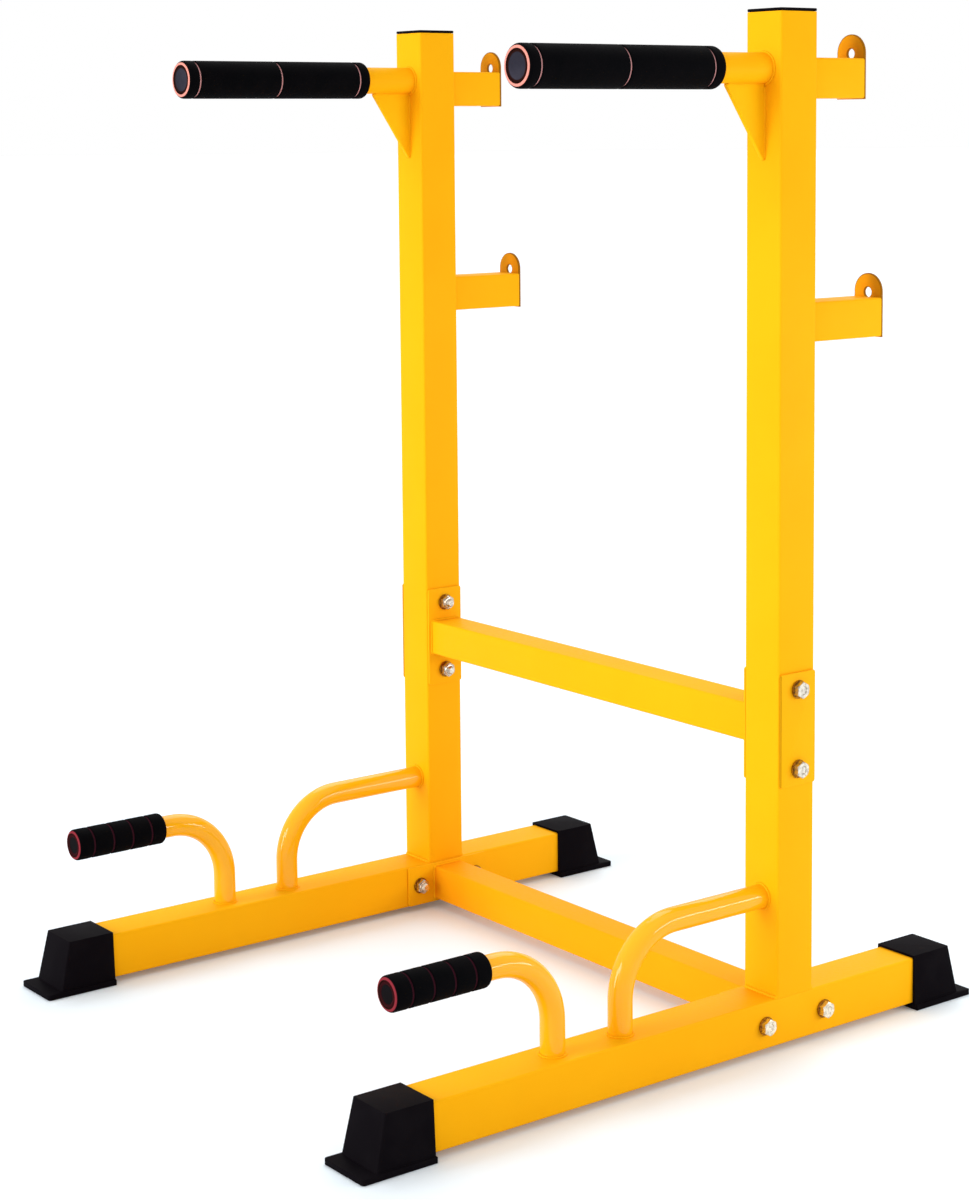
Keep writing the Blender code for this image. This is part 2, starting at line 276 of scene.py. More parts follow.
powderCoat = {
    "colour": (0.98, 0.460, 0.004, 1), "deeper": (0.97, 0.435, 0.003, 1), "roughness": 0.46,
    "specular": 0.03, "coatRoughness": 0.05, "drift": (9, 3, 0.35, 0.68), "driftShare": 0.6,
    "specks": (240, 2, 0.3, 0.75), "speckRoughness": 0.08, "peelScale": 620, "peelDetail": 2,
    "peelDepth": 0.00002,
}


def makePowderCoat(name, colours=powderCoat, coat=0.0, rim=None, rimShadeColour=None):
    recipe = Recipe(bpy.data.materials.new(name))
    drift = recipe.patches(*powderCoat["drift"])
    mixed = recipe.blendColours(powderCoat["driftShare"] * drift, colours["colour"], colours["deeper"])
    if rim:
        mixed = recipe.blendColours(rim(recipe), mixed, rimShadeColour)
    specks = recipe.patches(*powderCoat["specks"])
    peel = recipe.noise(powderCoat["peelScale"], powderCoat["peelDetail"])
    return recipe.finish(Base_Color=mixed, Specular_IOR_Level=powderCoat["specular"], Coat_Weight=coat,
                         Coat_Roughness=powderCoat["coatRoughness"],
                         Normal=recipe.bump(peel, powderCoat["peelDepth"]),
                         Roughness=powderCoat["roughness"] + specks * powderCoat["speckRoughness"])


# How far a point lies under the skin of a round piece that runs along Y
def depthUnder(recipe, node):
    low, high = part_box(node)
    offX = abs(recipe.axis("X")) - sideX
    offZ = recipe.axis("Z") - (low.z + high.z) / 2
    return (high.z - low.z) / 2 - (offX * offX + offZ * offZ).squareRoot()


# Moulded plastic, with a rim of another colour round a plug's face: this darker rim is painted shade

mouldedPlastic = {
    "colour": (0.0042, 0.0032, 0.0045, 1), "paler": (0.0062, 0.0050, 0.0064, 1), "roughness": 0.46,
    "specular": 0.008, "haze": (26, 4, 0.38, 0.7), "hazeRoughness": 0.1, "grainScale": 1100,
    "grainDetail": 3, "grainRoughness": 0.6, "grainDepth": 0.00005, "shadeRimFade": 0.0005,
}


def makePlastic(name, look=mouldedPlastic, shadeRimNode=None):
    recipe = Recipe(bpy.data.materials.new(name))
    haze = recipe.patches(*mouldedPlastic["haze"])
    mixed = recipe.blendColours(haze, look["colour"], look["paler"])
    if shadeRimNode:
        fade = mouldedPlastic["shadeRimFade"]
        inside = recipe.spread(depthUnder(recipe, shadeRimNode), look["shadeRimWidth"] - fade, look["shadeRimWidth"] + fade)
        mixed = recipe.blendColours(inside, look["rim"], mixed)
    grain = recipe.noise(mouldedPlastic["grainScale"], mouldedPlastic["grainDetail"],
                         mouldedPlastic["grainRoughness"])
    return recipe.finish(Base_Color=mixed, Specular_IOR_Level=mouldedPlastic["specular"],
                         Roughness=haze * mouldedPlastic["hazeRoughness"] + look["roughness"],
                         Normal=recipe.bump(grain, mouldedPlastic["grainDepth"]))


# Zinc plate on the fasteners

zincPlate = {
    "colour": (0.64, 0.57, 0.48, 1), "dulled": (0.36, 0.31, 0.26, 1), "roughness": 0.24,
    "spangle": (320, 3, 0.35, 0.7), "spangleRoughness": 0.12, "grainScale": 700, "grainDetail": 3,
    "grainDepth": 0.00002,
}


def makeZinc(name, colours=zincPlate):
    recipe = Recipe(bpy.data.materials.new(name))
    spangle = recipe.patches(*zincPlate["spangle"])
    mixed = recipe.blendColours(spangle, colours["colour"], colours["dulled"])
    grain = recipe.noise(zincPlate["grainScale"], zincPlate["grainDetail"])
    return recipe.finish(Base_Color=mixed, Metallic=1.0, Normal=recipe.bump(grain, zincPlate["grainDepth"]),
                         Roughness=zincPlate["roughness"] + spangle * zincPlate["spangleRoughness"])


paint = makePowderCoat("powderCoat")
footPlastic = makePlastic("footPlastic")
print("finishes mixed")


# Shading, finish, body and node of a piece, and its mirror copy on the left frame

def camelName(node):
    first, *rest = node.split("_")
    return first + "".join(word.title() for word in rest)


def dressPiece(piece, node, material, angle=35, stands=True):
    takeUp(piece)
    bpy.ops.object.shade_smooth_by_angle(angle=math.radians(angle))
    piece.data.materials.clear()
    piece.data.materials.append(material)
    piece.name = camelName(node)
    piece.data.name = piece.name
    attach(piece, "root")
    if stands:
        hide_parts(node)
    return piece


def mirrorPiece(piece):
    twin = piece.copy()
    twin.data = piece.data.copy()
    bpy.context.scene.collection.objects.link(twin)
    twin.data.transform(Matrix.Scale(-1, 4, right))
    startEdit(twin)
    bpy.ops.mesh.select_all(action="SELECT")
    bpy.ops.mesh.flip_normals()
    stopEdit()
    return twin


def bothSides(piece, node, material, angle=35, stands=True):
    twin = mirrorPiece(piece)
    dressed = dressPiece(piece, node, material, angle, stands)
    mirrored = dressPiece(twin, node.replace("right_", "left_", 1), material, angle, stands)
    return dressed, mirrored


# Square tubes: long edges rounded as rolled tube is

squareTube = {"corner": 0.0025, "cornerSteps": 5, "endEdge": 0.0004, "endSteps": 2, "endAngle": 60}
# Painted shade: the lower crossbar gets a deeper yellow than the rest of the frame, standing in for the shade
# it lies in near the floor
lowBarShade = {"colour": (0.98, 0.385, 0.004, 1), "deeper": (0.97, 0.365, 0.003, 1)}  # a deeper yellow


def makeSquareTube(node, axis):
    low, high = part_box(node)
    bar = addBlock(camelName(node), low, high)
    roundAlong(bar, axis, squareTube["corner"], squareTube["cornerSteps"])
    softenEdges(bar, squareTube["endEdge"], squareTube["endSteps"], squareTube["endAngle"])
    return bar


for node, axis in (("right_upright", up), ("right_base_tube", front),
                   ("right_upper_arm", front), ("right_lower_arm", front)):
    bothSides(makeSquareTube(node, axis), node, paint)
for node, coat in (("upper_crossbar", paint), ("lower_crossbar", makePowderCoat("lowBarCoat", lowBarShade))):
    dressPiece(makeSquareTube(node, right), node, coat)
print("square tubes drawn")


# Flat plates under the bolts

# The seam colour is painted shade: a dark line along the backing plate's front edge
flatPlate = {
    "corner": 0.003, "cornerSteps": 4, "edge": 0.0005, "edgeSteps": 2,
    "seamShadeColour": (0.56, 0.27, 0.001, 1), "seamShadeWidth": 0.0015, "seamShadeFull": 0.0005,
}


# Painted shade: the front edge of the backing plate is darkened where it lies in the shade of the seam beside
# it
def frontSeamShade(recipe):
    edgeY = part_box("right_backing_plate")[0].y
    return recipe.spread(recipe.axis("Y"), edgeY + flatPlate["seamShadeWidth"], edgeY + flatPlate["seamShadeFull"])


plateSeamShadePaint = makePowderCoat("plateCoat", rim=frontSeamShade, rimShadeColour=flatPlate["seamShadeColour"])
for node, coat in (("right_backing_plate", plateSeamShadePaint), ("upper_crossbar_right_plate", paint),
                   ("lower_crossbar_right_plate", paint)):
    plate = addBlock(camelName(node), *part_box(node))
    roundAlong(plate, right, flatPlate["corner"], flatPlate["cornerSteps"])
    softenEdges(plate, flatPlate["edge"], flatPlate["edgeSteps"])
    bothSides(plate, node, coat)


# Ears: round-topped plates with a hole

# Painted shade: the ear's colours are darker than the frame's paint, standing in for the shade of the upright
# in front of it; the rim colour is painted shade too
ear = {
    "hole": 0.0108, "holeDrop": 0.0005, "holeSides": 48, "edge": 0.0006, "edgeAngle": 50,
    "crownShare": 0.999, "crownSteps": 18, "crownDepth": 0.001,
    "colour": (0.88, 0.385, 0.005, 1), "deeper": (0.74, 0.30, 0.005, 1), "rim": (0.32, 0.125, 0.003, 1),
    "rimShadeBegins": 0.0020, "rimShadeFull": 0.0004, "holeShade": 0.0016,
    "shadeBegins": -0.006, "shadeFull": 0.013, "shade": 0.5, "smooth": 40,
}


# Painted shade: the paint is darkened round an ear's outside and round its hole, where its edges lie in
# shade, and towards the outer side
def earPaintedShade(recipe, low, high):
    half = (high.x - low.x) / 2
    hole = ear["hole"] / 2
    offX = abs(recipe.axis("X")) - sideX
    upward = recipe.axis("Z")
    overCrown = (upward - (high.z - half)).orMore(0.0)
    overHole = upward - (high.z - half - ear["holeDrop"])
    fromCrown = (offX * offX + overCrown * overCrown).squareRoot()
    fromHole = (offX * offX + overHole * overHole).squareRoot()
    outside = recipe.spread(fromCrown, half - ear["rimShadeBegins"], half - ear["rimShadeFull"])
    inside = recipe.spread(fromHole, hole + ear["holeShade"], hole)
    outward = recipe.spread(offX, ear["shadeBegins"], ear["shadeFull"]) * ear["shade"]
    return outside.orMore(inside).orMore(outward)


def makeEar(low, high):
    half = (high.x - low.x) / 2
    hole = ear["hole"] / 2
    thick = high.y - low.y
    holeCentre = Vector(((low.x + high.x) / 2, (low.y + high.y) / 2, high.z - half - ear["holeDrop"]))
    body = addBlock("earBody", low, high)
    roundAlong(body, front, half * ear["crownShare"], ear["crownSteps"],
               lambda edge: edge.verts[0].co.z > high.z - ear["crownDepth"])
    punch = turnPiece("earPunch", holeCentre - front * thick, front,
                      [(hole, 0), (hole, 2 * thick)], ear["holeSides"])
    combine(body, punch, "DIFFERENCE")
    softenEdges(body, ear["edge"], angle=ear["edgeAngle"])
    return body


for node in ("right_upper_ear", "right_lower_ear"):
    low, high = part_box(node)
    earShadedPaint = makePowderCoat(camelName(node) + "Coat", ear, rim=lambda recipe: earPaintedShade(recipe, low, high),
                              rimShadeColour=ear["rim"])
    bothSides(makeEar(low, high), node, earShadedPaint, ear["smooth"])


# Gussets: the plate is cut along its slant, then its edges are eased

# Painted light: the gusset's paint is paler than the frame's, standing in for light on its face, which lies
# in the shade of the dip bar
gusset = {
    "nose": 0.002, "edge": 0.0006, "colour": (0.98, 0.525, 0.004, 1), "deeper": (0.97, 0.495, 0.003, 1),
}
gussetLow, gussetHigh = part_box("right_gusset")
plate = addBlock("gussetPlate", gussetLow, gussetHigh)
startEdit(plate)
bpy.ops.mesh.select_all(action="SELECT")
noseTop = Vector((gussetLow.x, gussetLow.y, gussetHigh.z - gusset["nose"]))
noseFoot = Vector((gussetLow.x, gussetHigh.y - gusset["nose"], gussetLow.z))
slant = (noseFoot - noseTop).cross(right).normalized()
if slant.dot(noseFoot - Vector((gussetLow.x, gussetHigh.y, gussetHigh.z))) < 0:
    slant = -slant
bpy.ops.mesh.bisect(plane_co=noseTop, plane_no=slant, use_fill=True, clear_outer=True)
stopEdit()
softenEdges(plate, gusset["edge"])
bothSides(plate, "right_gusset", makePowderCoat("gussetCoat", gusset))
print("plates, ears and gussets cut")


# Dip bars

dipBar = {"sides": 96}
dipTubeLow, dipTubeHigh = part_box("right_dip_bar")
dipTubeRadius = (dipTubeHigh.z - dipTubeLow.z) / 2
dipZ = (dipTubeLow.z + dipTubeHigh.z) / 2
dipLength = dipTubeHigh.y - dipTubeLow.y
dipTube = turnPiece("dipTube", Vector((sideX, dipTubeHigh.y, dipZ)), front,
                    [(dipTubeRadius, 0), (dipTubeRadius, dipLength)], dipBar["sides"])
bothSides(dipTube, "right_dip_bar", paint)


# Bent tubes: a ring is drawn up from the base, spun round the bend and drawn out level

bentTube = {"sides": 48, "bendSteps": 28, "bend": 0.072, "coat": 0.6}


def makeBentTube(node, legY, toward, endY):
    low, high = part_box(node)
    radius = (high.x - low.x) / 2
    bendZ = high.z - radius - bentTube["bend"]
    bpy.ops.object.select_all(action="DESELECT")
    bpy.ops.mesh.primitive_circle_add(vertices=bentTube["sides"], radius=radius, fill_type="NOTHING",
                                      location=(sideX, legY, low.z))
    tube = settle(camelName(node))
    startEdit(tube)
    bpy.ops.mesh.select_all(action="SELECT")
    bpy.ops.mesh.extrude_region_move(TRANSFORM_OT_translate={"value": up * (bendZ - low.z)})
    bendCentre = Vector((sideX, legY, bendZ)) + toward * bentTube["bend"]
    bpy.ops.mesh.spin(steps=bentTube["bendSteps"], angle=math.pi / 2, center=bendCentre,
                      axis=toward.cross(up))
    levelStart = legY + toward.y * bentTube["bend"]
    bpy.ops.mesh.extrude_region_move(TRANSFORM_OT_translate={"value": (0, endY - levelStart, 0)})
    bpy.ops.mesh.select_all(action="SELECT")
    bpy.ops.mesh.fill_holes(sides=0)
    stopEdit()
    turnFacesOut(tube)
    return tube


pushTubeLow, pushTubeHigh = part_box("right_pushup_tube")
braceLow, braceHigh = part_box("right_brace_tube")
handleRadius = (pushTubeHigh.x - pushTubeLow.x) / 2
handleZ = pushTubeHigh.z - handleRadius
pushLegY = pushTubeHigh.y - handleRadius
braceLegY = braceLow.y + handleRadius
tubePaint = makePowderCoat("tubeCoat", coat=bentTube["coat"])
for node, legY, toward, endY in (("right_pushup_tube", pushLegY, front, pushTubeLow.y),
                                 ("right_brace_tube", braceLegY, -front, braceHigh.y)):
    bothSides(makeBentTube(node, legY, toward, endY), node, tubePaint)
print("round tubes bent")


# Foam grips: soft black sleeves with ring grooves and rounded ends, over a coloured core

foamRubber = {
    "skin": (0.0009, 0.0009, 0.0014, 1), "worn": (0.0022, 0.0019, 0.0025, 1),
    "heart": (0.030, 0.008, 0.006, 1), "specular": 0.03, "roughness": 0.8, "mottle": (60, 4, 0.35, 0.7),
    "mottleRoughness": 0.08, "cellScale": 900, "cellDepth": 0.00012, "cellStrength": 0.7,
    "endBegins": 0.0045, "endFull": 0.0035, "ringBegins": 0.0055, "ringFull": 0.0045,
    "coreFade": 0.0003, "heartFade": 0.0004,
}
dipGrip = {
    "endBand": 0.015, "grooves": 3, "fill": 0.9, "ring": tint(236, 152, 138), "groove": tint(214, 160, 160),
    "grooveSkin": 0.0015, "endSkin": 0.0022, "ringWidth": 0.0048,
}
# Partly painted shade: the push-up grip's core is red, but its groove colour is darker than its ring,
# standing in for the shade in the grooves
pushGrip = {
    "endBand": 0.020, "grooves": 4, "fill": 0.9, "ring": tint(138, 46, 56), "groove": tint(62, 24, 36),
    "grooveSkin": 0.0011, "endSkin": 0.0015, "ringWidth": 0.0038,
}
gripShape = {
    "sides": 96, "clearance": 0.0003, "lip": 0.0004, "endRound": 0.0042, "endSteps": 5,
    "grooveHalf": 0.0018, "grooveDeep": 0.0021, "smooth": 50,
}
# Across a groove: shares of its half width and of its depth
grooveShape = ((-1.35, 0), (-1, 0.06), (-0.7, 0.3), (-0.3, 0.9), (0, 1), (0.3, 0.9), (0.7, 0.3), (1, 0.06),
               (1.35, 0))


# The core shows as a ring in the cut ends and at the bottom of the grooves
def makeFoam(name, grip, low, high, node):
    recipe = Recipe(bpy.data.materials.new(name))
    fromMiddle = abs(recipe.axis("Y") - (low.y + high.y) / 2)
    fromEnd = (high.y - low.y) / 2 - fromMiddle
    skinDepth = recipe.spread(fromEnd, foamRubber["endBegins"], foamRubber["endFull"],
                              grip["grooveSkin"], grip["endSkin"])
    depth = depthUnder(recipe, node)
    coreFade, heartFade = foamRubber["coreFade"], foamRubber["heartFade"]
    inCore = recipe.spread(depth - skinDepth, -coreFade, coreFade)
    inHeart = recipe.spread(depth, grip["ringWidth"] - heartFade, grip["ringWidth"] + heartFade)
    mottle = recipe.patches(*foamRubber["mottle"])
    skin = recipe.blendColours(mottle, foamRubber["skin"], foamRubber["worn"])
    ring = recipe.blendColours(recipe.spread(fromEnd, foamRubber["ringBegins"], foamRubber["ringFull"]),
                               grip["groove"], grip["ring"])
    core = recipe.blendColours(inHeart, ring, foamRubber["heart"])
    cells = recipe.add("ShaderNodeTexVoronoi", inputs={
        "Vector": recipe.place(), "Scale": foamRubber["cellScale"]})
    return recipe.finish(Base_Color=recipe.blendColours(inCore, skin, core),
                         Roughness=mottle * foamRubber["mottleRoughness"] + foamRubber["roughness"],
                         Specular_IOR_Level=foamRubber["specular"],
                         Normal=recipe.bump(cells, foamRubber["cellDepth"], foamRubber["cellStrength"]))


def gripSteps(radius, length, bore, grip):
    lip, ends = gripShape["lip"], gripShape["endRound"]
    rounded = []
    for i in range(gripShape["endSteps"] + 1):
        turn = math.pi / 2 * i / gripShape["endSteps"]
        rounded.append((radius - ends + ends * math.sin(turn), ends - ends * math.cos(turn)))
    steps = [(bore, lip), (bore + lip, 0)] + rounded
    pitch = (length - 2 * grip["endBand"]) / (grip["grooves"] - 1)
    for i in range(grip["grooves"]):
        middle = grip["endBand"] + i * pitch
        for share, sink in grooveShape:
            steps.append((radius - gripShape["grooveDeep"] * sink, middle + gripShape["grooveHalf"] * share))
    steps += [(ring, length - along) for ring, along in reversed(rounded)]
    return steps + [(bore + lip, length), (bore, length - lip), (bore, lip)]


for node, name, grip, tubeRadius in (("right_dip_grip", "dipFoam", dipGrip, dipTubeRadius),
                                     ("right_pushup_grip", "pushupFoam", pushGrip, handleRadius)):
    low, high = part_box(node)
    steps = gripSteps((high.z - low.z) / 2, high.y - low.y, tubeRadius + gripShape["clearance"], grip)
    sleeve = turnPiece("gripSleeve", Vector((sideX, high.y, (low.z + high.z) / 2)), front, steps,
                       gripShape["sides"], sleeve=True)
    foam = makeFoam(name, grip, low, high, node)
    for side in bothSides(sleeve, node, foam, gripShape["smooth"]):
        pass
print("foam grips turned")


# Plugs in the round tube ends: a shallow dish inside a rounded shoulder

# Each plug's rim colour is painted shade round its face
dipPlug = {
    "colour": tint(43, 42, 52), "paler": tint(58, 56, 67), "roughness": 0.48, "rim": tint(38, 15, 12),
    "shadeRimWidth": 0.0026,
}
pushPlug = {
    "colour": tint(11, 10, 12), "paler": tint(22, 18, 21), "roughness": 0.42, "rim": tint(48, 12, 16),
    "shadeRimWidth": 0.0034,
}
roundPlug = {
    "sides": 72, "head": 0.002, "wall": 0.0024, "shoulder": 0.0010, "shoulderSteps": 4,
    "rim": 0.0025, "slope": 0.0005, "dish": 0.0004, "middle": 0.3,
}


def plugSteps(radius, length):
    wall, soft, rim = roundPlug["wall"], roundPlug["shoulder"], roundPlug["rim"]
    headBack = length - roundPlug["head"]
    dishFloor = length - roundPlug["dish"]
    steps = [(radius - wall, 0), (radius - wall, headBack), (radius, headBack), (radius, length - soft)]
    for i in range(roundPlug["shoulderSteps"]):
        turn = math.pi / 2 * (i + 1) / roundPlug["shoulderSteps"]
        steps.append((radius - soft + soft * math.cos(turn), length - soft + soft * math.sin(turn)))
    return steps + [(radius - rim, length), (radius - rim - roundPlug["slope"], dishFloor),
                    (radius * roundPlug["middle"], dishFloor)]


for node, name, look in (("right_dip_plug", "dipPlugPlastic", dipPlug),
                         ("right_pushup_plug", "pushupPlugPlastic", pushPlug)):
    low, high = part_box(node)
    plug = turnPiece("plug", Vector((sideX, high.y, (low.z + high.z) / 2)), front,
                     plugSteps((high.z - low.z) / 2, high.y - low.y), roundPlug["sides"])
    bothSides(plug, node, makePlastic(name, look, node))


# Plugs in the uprights' tops: a dished head over a spigot

postPlug = {
    "corner": 0.0025, "cornerSteps": 5, "edge": 0.0009, "edgeAngle": 60, "gap": 0.0003, "wall": 0.0025,
    "rim": 0.0046, "dish": 0.0004, "dishCorner": 0.0016, "dishSteps": 4, "cutAbove": 0.002,
}


def makePostPlug():
    low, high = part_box("right_top_plug")
    headZ = postHigh.z + postPlug["gap"]
    plug = addBlock("postPlug", Vector((low.x, low.y, headZ)), high)
    roundAlong(plug, up, postPlug["corner"], postPlug["cornerSteps"])
    softenEdges(plug, postPlug["edge"], angle=postPlug["edgeAngle"])
    inset = Vector((postPlug["rim"], postPlug["rim"], 0))
    dish = addBlock("plugDish", Vector((low.x, low.y, high.z - postPlug["dish"])) + inset,
                    high + up * postPlug["cutAbove"] - inset)
    roundAlong(dish, up, postPlug["dishCorner"], postPlug["dishSteps"])
    combine(plug, dish, "DIFFERENCE")
    wall = Vector((postPlug["wall"], postPlug["wall"], 0))
    spigot = addBlock("postSpigot", low + wall, Vector((high.x, high.y, headZ)) - wall)
    return joinPieces(plug, spigot)


bothSides(makePostPlug(), "right_top_plug", footPlastic)


# Feet: a flange is drawn up into a leaning sleeve, the tube's socket is cut and the edges are rounded

foot = {
    "flangeHeight": 0.006, "corner": 0.003, "cornerSteps": 4, "step": 0.0004,
    "lowSide": 0.0046, "lowLength": 0.069, "topSide": 0.0016, "topLength": 0.0565,
    "edge": 0.0018, "edgeAngle": 28, "gap": 0.0003, "smooth": 40,
}


# Draws the picked face up and scales it about the foot's rim
def drawFootUp(rise, wider, longer, rimCentre):
    bpy.ops.mesh.extrude_region_move(TRANSFORM_OT_translate={"value": (0, 0, rise)})
    bpy.ops.transform.resize(value=(wider, longer, 1), center_override=rimCentre)


def makeFoot(node, outward):
    low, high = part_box(node)
    rim = high.y if outward.y < 0 else low.y
    middle = (low.y + high.y) / 2
    rimCentre = Vector((sideX, rim, foot["flangeHeight"]))
    tubeHalf = (baseHigh.x - baseLow.x) / 2
    flangeHalf, flangeLength = (high.x - low.x) / 2, high.y - low.y
    lowHalf, topHalf = tubeHalf + foot["lowSide"], tubeHalf + foot["topSide"]
    piece = addBlock("foot", low, Vector((high.x, high.y, foot["flangeHeight"])))
    roundAlong(piece, up, foot["corner"], foot["cornerSteps"],
               lambda edge: (edge.verts[0].co.y - middle) * outward.y > 0)
    startEdit(piece)
    pick(piece, "FACE", facesTo(up))
    drawFootUp(foot["step"], lowHalf / flangeHalf, foot["lowLength"] / flangeLength, rimCentre)
    drawFootUp(high.z - foot["flangeHeight"] - foot["step"], topHalf / lowHalf,
               foot["topLength"] / foot["lowLength"], rimCentre)
    stopEdit()
    gap = Vector.Fill(3, foot["gap"])
    socket = addBlock("socket", baseLow - gap, baseHigh + gap)
    roundAlong(socket, front, squareTube["corner"], squareTube["cornerSteps"])
    combine(piece, socket, "DIFFERENCE")
    softenEdges(piece, foot["edge"], angle=foot["edgeAngle"])
    return piece


for node, outward in (("right_front_foot", front), ("right_rear_foot", -front)):
    bothSides(makeFoot(node, outward), node, footPlastic, foot["smooth"])
print("plugs and feet moulded")


# Bolts and nuts: hexagons with turned chamfers, washers and a threaded tail. A hexagon's corners are
# cut back over a short rise, down to a round face that is nearly as wide as its flats.

hexagon = {
    "flats": 0.016, "faceShare": 0.97, "rise": 0.00154, "clearOf": 1.1, "seatRing": 0.001, "sides": 72,
    "smooth": 30,
}
# Painted shade and reflection: the washers' orange-brown colours stand in for the shade round each head and
# the yellow paint reflected in them
washer = {
    "radius": 0.010, "height": 0.0018, "bore": 0.004, "gap": 0.0001, "footEdge": 0.0003, "topEdge": 0.0004,
    "sides": 64, "smooth": 30, "colour": (0.42, 0.165, 0.012, 1), "dulled": (0.20, 0.070, 0.006, 1),
}
# The low colours are painted light: the lower bolts' zinc is paler, standing in for brighter reflections than
# they get
bolt = {
    "headHeight": 0.0064, "dish": ((0.0040, 0), (0.0046, 0.0010), (0.0050, 0.0016)), "dishDeep": 0.0010,
    "dishSides": 48, "tailInNut": 0.001,
    "lowLitColours": {"colour": (0.88, 0.80, 0.66, 1), "dulled": (0.56, 0.49, 0.39, 1)},
}
thread = {
    "radius": 0.0049, "deep": 0.0006, "pitch": 0.0012, "crestBegins": 0.4, "crestEnds": 0.6,
    "plainEnd": 0.0008, "point": 0.0006, "sides": 48,
}
nut = {
    "height": 0.0080, "collar": 0.0020, "collarInset": 0.0008, "collarSides": 64, "overlap": 0.0005,
    "collarShape": ((0.0012, 0), (0.0004, 0.0003), (0, 0.0010)),  # how far inside its rim, how high
    "bore": 0.0053, "boreDeep": 0.005, "boreStart": 0.001, "boreSides": 48,
}


# A hexagon along +X from its seat, cut round at one end or at both ends
def makeHexagon(name, seat, height, bothEnds):
    corner = hexagon["flats"] / math.sqrt(3)
    small, wide = hexagon["flats"] / 2 * hexagon["faceShare"], corner * hexagon["clearOf"]
    prism = turnPiece(name, seat, right, [(corner, 0), (corner, height)], 6)
    steps = [(small, 0), (wide, hexagon["rise"])] if bothEnds else [(wide, 0), (wide, hexagon["seatRing"])]
    steps += [(wide, height - hexagon["rise"]), (small, height)]
    combine(prism, turnPiece("chamfer", seat, right, steps, hexagon["sides"]), "INTERSECT")
    return prism


def makeWasher(node, seat):
    rim, bore, height = washer["radius"], washer["bore"], washer["height"] - washer["gap"]
    below, above = washer["footEdge"], washer["topEdge"]
    steps = [(bore, 0), (rim - below, 0), (rim, below), (rim, height - above), (rim - above, height),
             (bore, height)]
    piece = turnPiece("washer", seat, right, steps, washer["sides"])
    bothSides(piece, node + "_washer", washerZinc, washer["smooth"], stands=False)


def makeThread(start, length):
    crest, root, pitch = thread["radius"], thread["radius"] - thread["deep"], thread["pitch"]
    crestBegins, crestEnds = pitch * thread["crestBegins"], pitch * thread["crestEnds"]
    steps = [(root, 0)]
    along = 0
    while along + pitch < length - thread["plainEnd"]:
        steps += [(crest, along + crestBegins), (crest, along + crestEnds), (root, along + pitch)]
        along += pitch
    steps += [(root, length - thread["point"]), (root - thread["point"], length)]
    return turnPiece("tail", start, -right, steps, thread["sides"])


def makeBolt(node, nutNode, material):
    low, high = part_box(node)
    middle = Vector((0, (low.y + high.y) / 2, (low.z + high.z) / 2))
    headX = high.x - bolt["headHeight"]
    makeWasher(node, middle + right * (headX - washer["height"]))
    head = makeHexagon("head", middle + right * headX, bolt["headHeight"], False)
    dish = turnPiece("dish", middle + right * (high.x - bolt["dishDeep"]), right, bolt["dish"],
                     bolt["dishSides"])
    combine(head, dish, "DIFFERENCE")
    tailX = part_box(nutNode)[0].x + bolt["tailInNut"]
    tail = makeThread(middle + right * tailX, tailX - low.x)
    bothSides(joinPieces(head, tail), node, material, hexagon["smooth"])


def makeNut(node):
    low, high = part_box(node)
    middle = Vector((0, (low.y + high.y) / 2, (low.z + high.z) / 2))
    collar = nut["collar"]
    makeWasher(node, middle + right * (high.x - washer["height"]))
    body = makeHexagon("body", middle + right * (low.x + collar), nut["height"] - washer["height"], True)
    rim = hexagon["flats"] / 2 - nut["collarInset"]
    steps = [(rim - inset, along) for inset, along in nut["collarShape"]] + [(rim, collar + nut["overlap"])]
    combine(body, turnPiece("ring", middle + right * low.x, right, steps, nut["collarSides"]), "UNION")
    bore = turnPiece("bore", middle + right * (low.x - nut["boreStart"]), right,
                     [(nut["bore"], 0), (nut["bore"], nut["boreStart"] + nut["boreDeep"])], nut["boreSides"])
    combine(body, bore, "DIFFERENCE")
    bothSides(body, node, zinc, hexagon["smooth"])


zinc = makeZinc("zincPlate")
# Painted light: the lower bolts' paler zinc
lowLitZinc = makeZinc("lowLitZincPlate", bolt["lowLitColours"])
washerZinc = makeZinc("washerZinc", washer)
for place, material in (("upper_high", zinc), ("upper_low", zinc), ("lower_front", lowLitZinc),
                        ("lower_rear", lowLitZinc)):
    makeBolt(f"right_{place}_bolt", f"right_{place}_nut", material)
    makeNut(f"right_{place}_nut")
print("bolts and nuts turned")


# Weld beads under the paint, where the real frame is welded: they swell and thin as a weld's ripples do

bead = {
    "step": 0.0009, "ripple": 0.0028, "swell": 0.16, "driftRate": 310, "drift": 0.4, "ringSteps": 48,
    "sideSteps": 2, "smooth": 60,
}
postBead = {"radius": 0.0022, "lift": 0.0002, "tuck": 0.0024, "spread": 0.0006, "corner": 0.003}
tubeBead = {"radius": 0.0012, "off": 0.0006, "spread": 0.0008}
gussetBead = {
    "radius": 0.0011, "topRadius": 0.00088, "beside": 0.0002, "off": 0.0004,
    "fromTop": 0.003, "fromFoot": 0.002, "fromNose": 0.0015,
}
squareBead = {
    "armRadius": 0.0011, "crossbarRadius": 0.0013, "off": 0.0005, "spread": 0.0004, "corner": 0.004,
}


# A bead's spots, each with the distance travelled to it
def spotsAlong(corners, closed):
    places = [Vector(corner) for corner in corners]
    if closed:
        places.append(places[0])
    spots = []
    travelled = 0
    for begin, end in zip(places, places[1:]):
        length = (end - begin).length
        count = max(1, round(length / bead["step"]))
        spots += [(begin.lerp(end, i / count), travelled + length * i / count) for i in range(count)]
        travelled += length
    if not closed:
        spots.append((places[-1], travelled))
    return spots


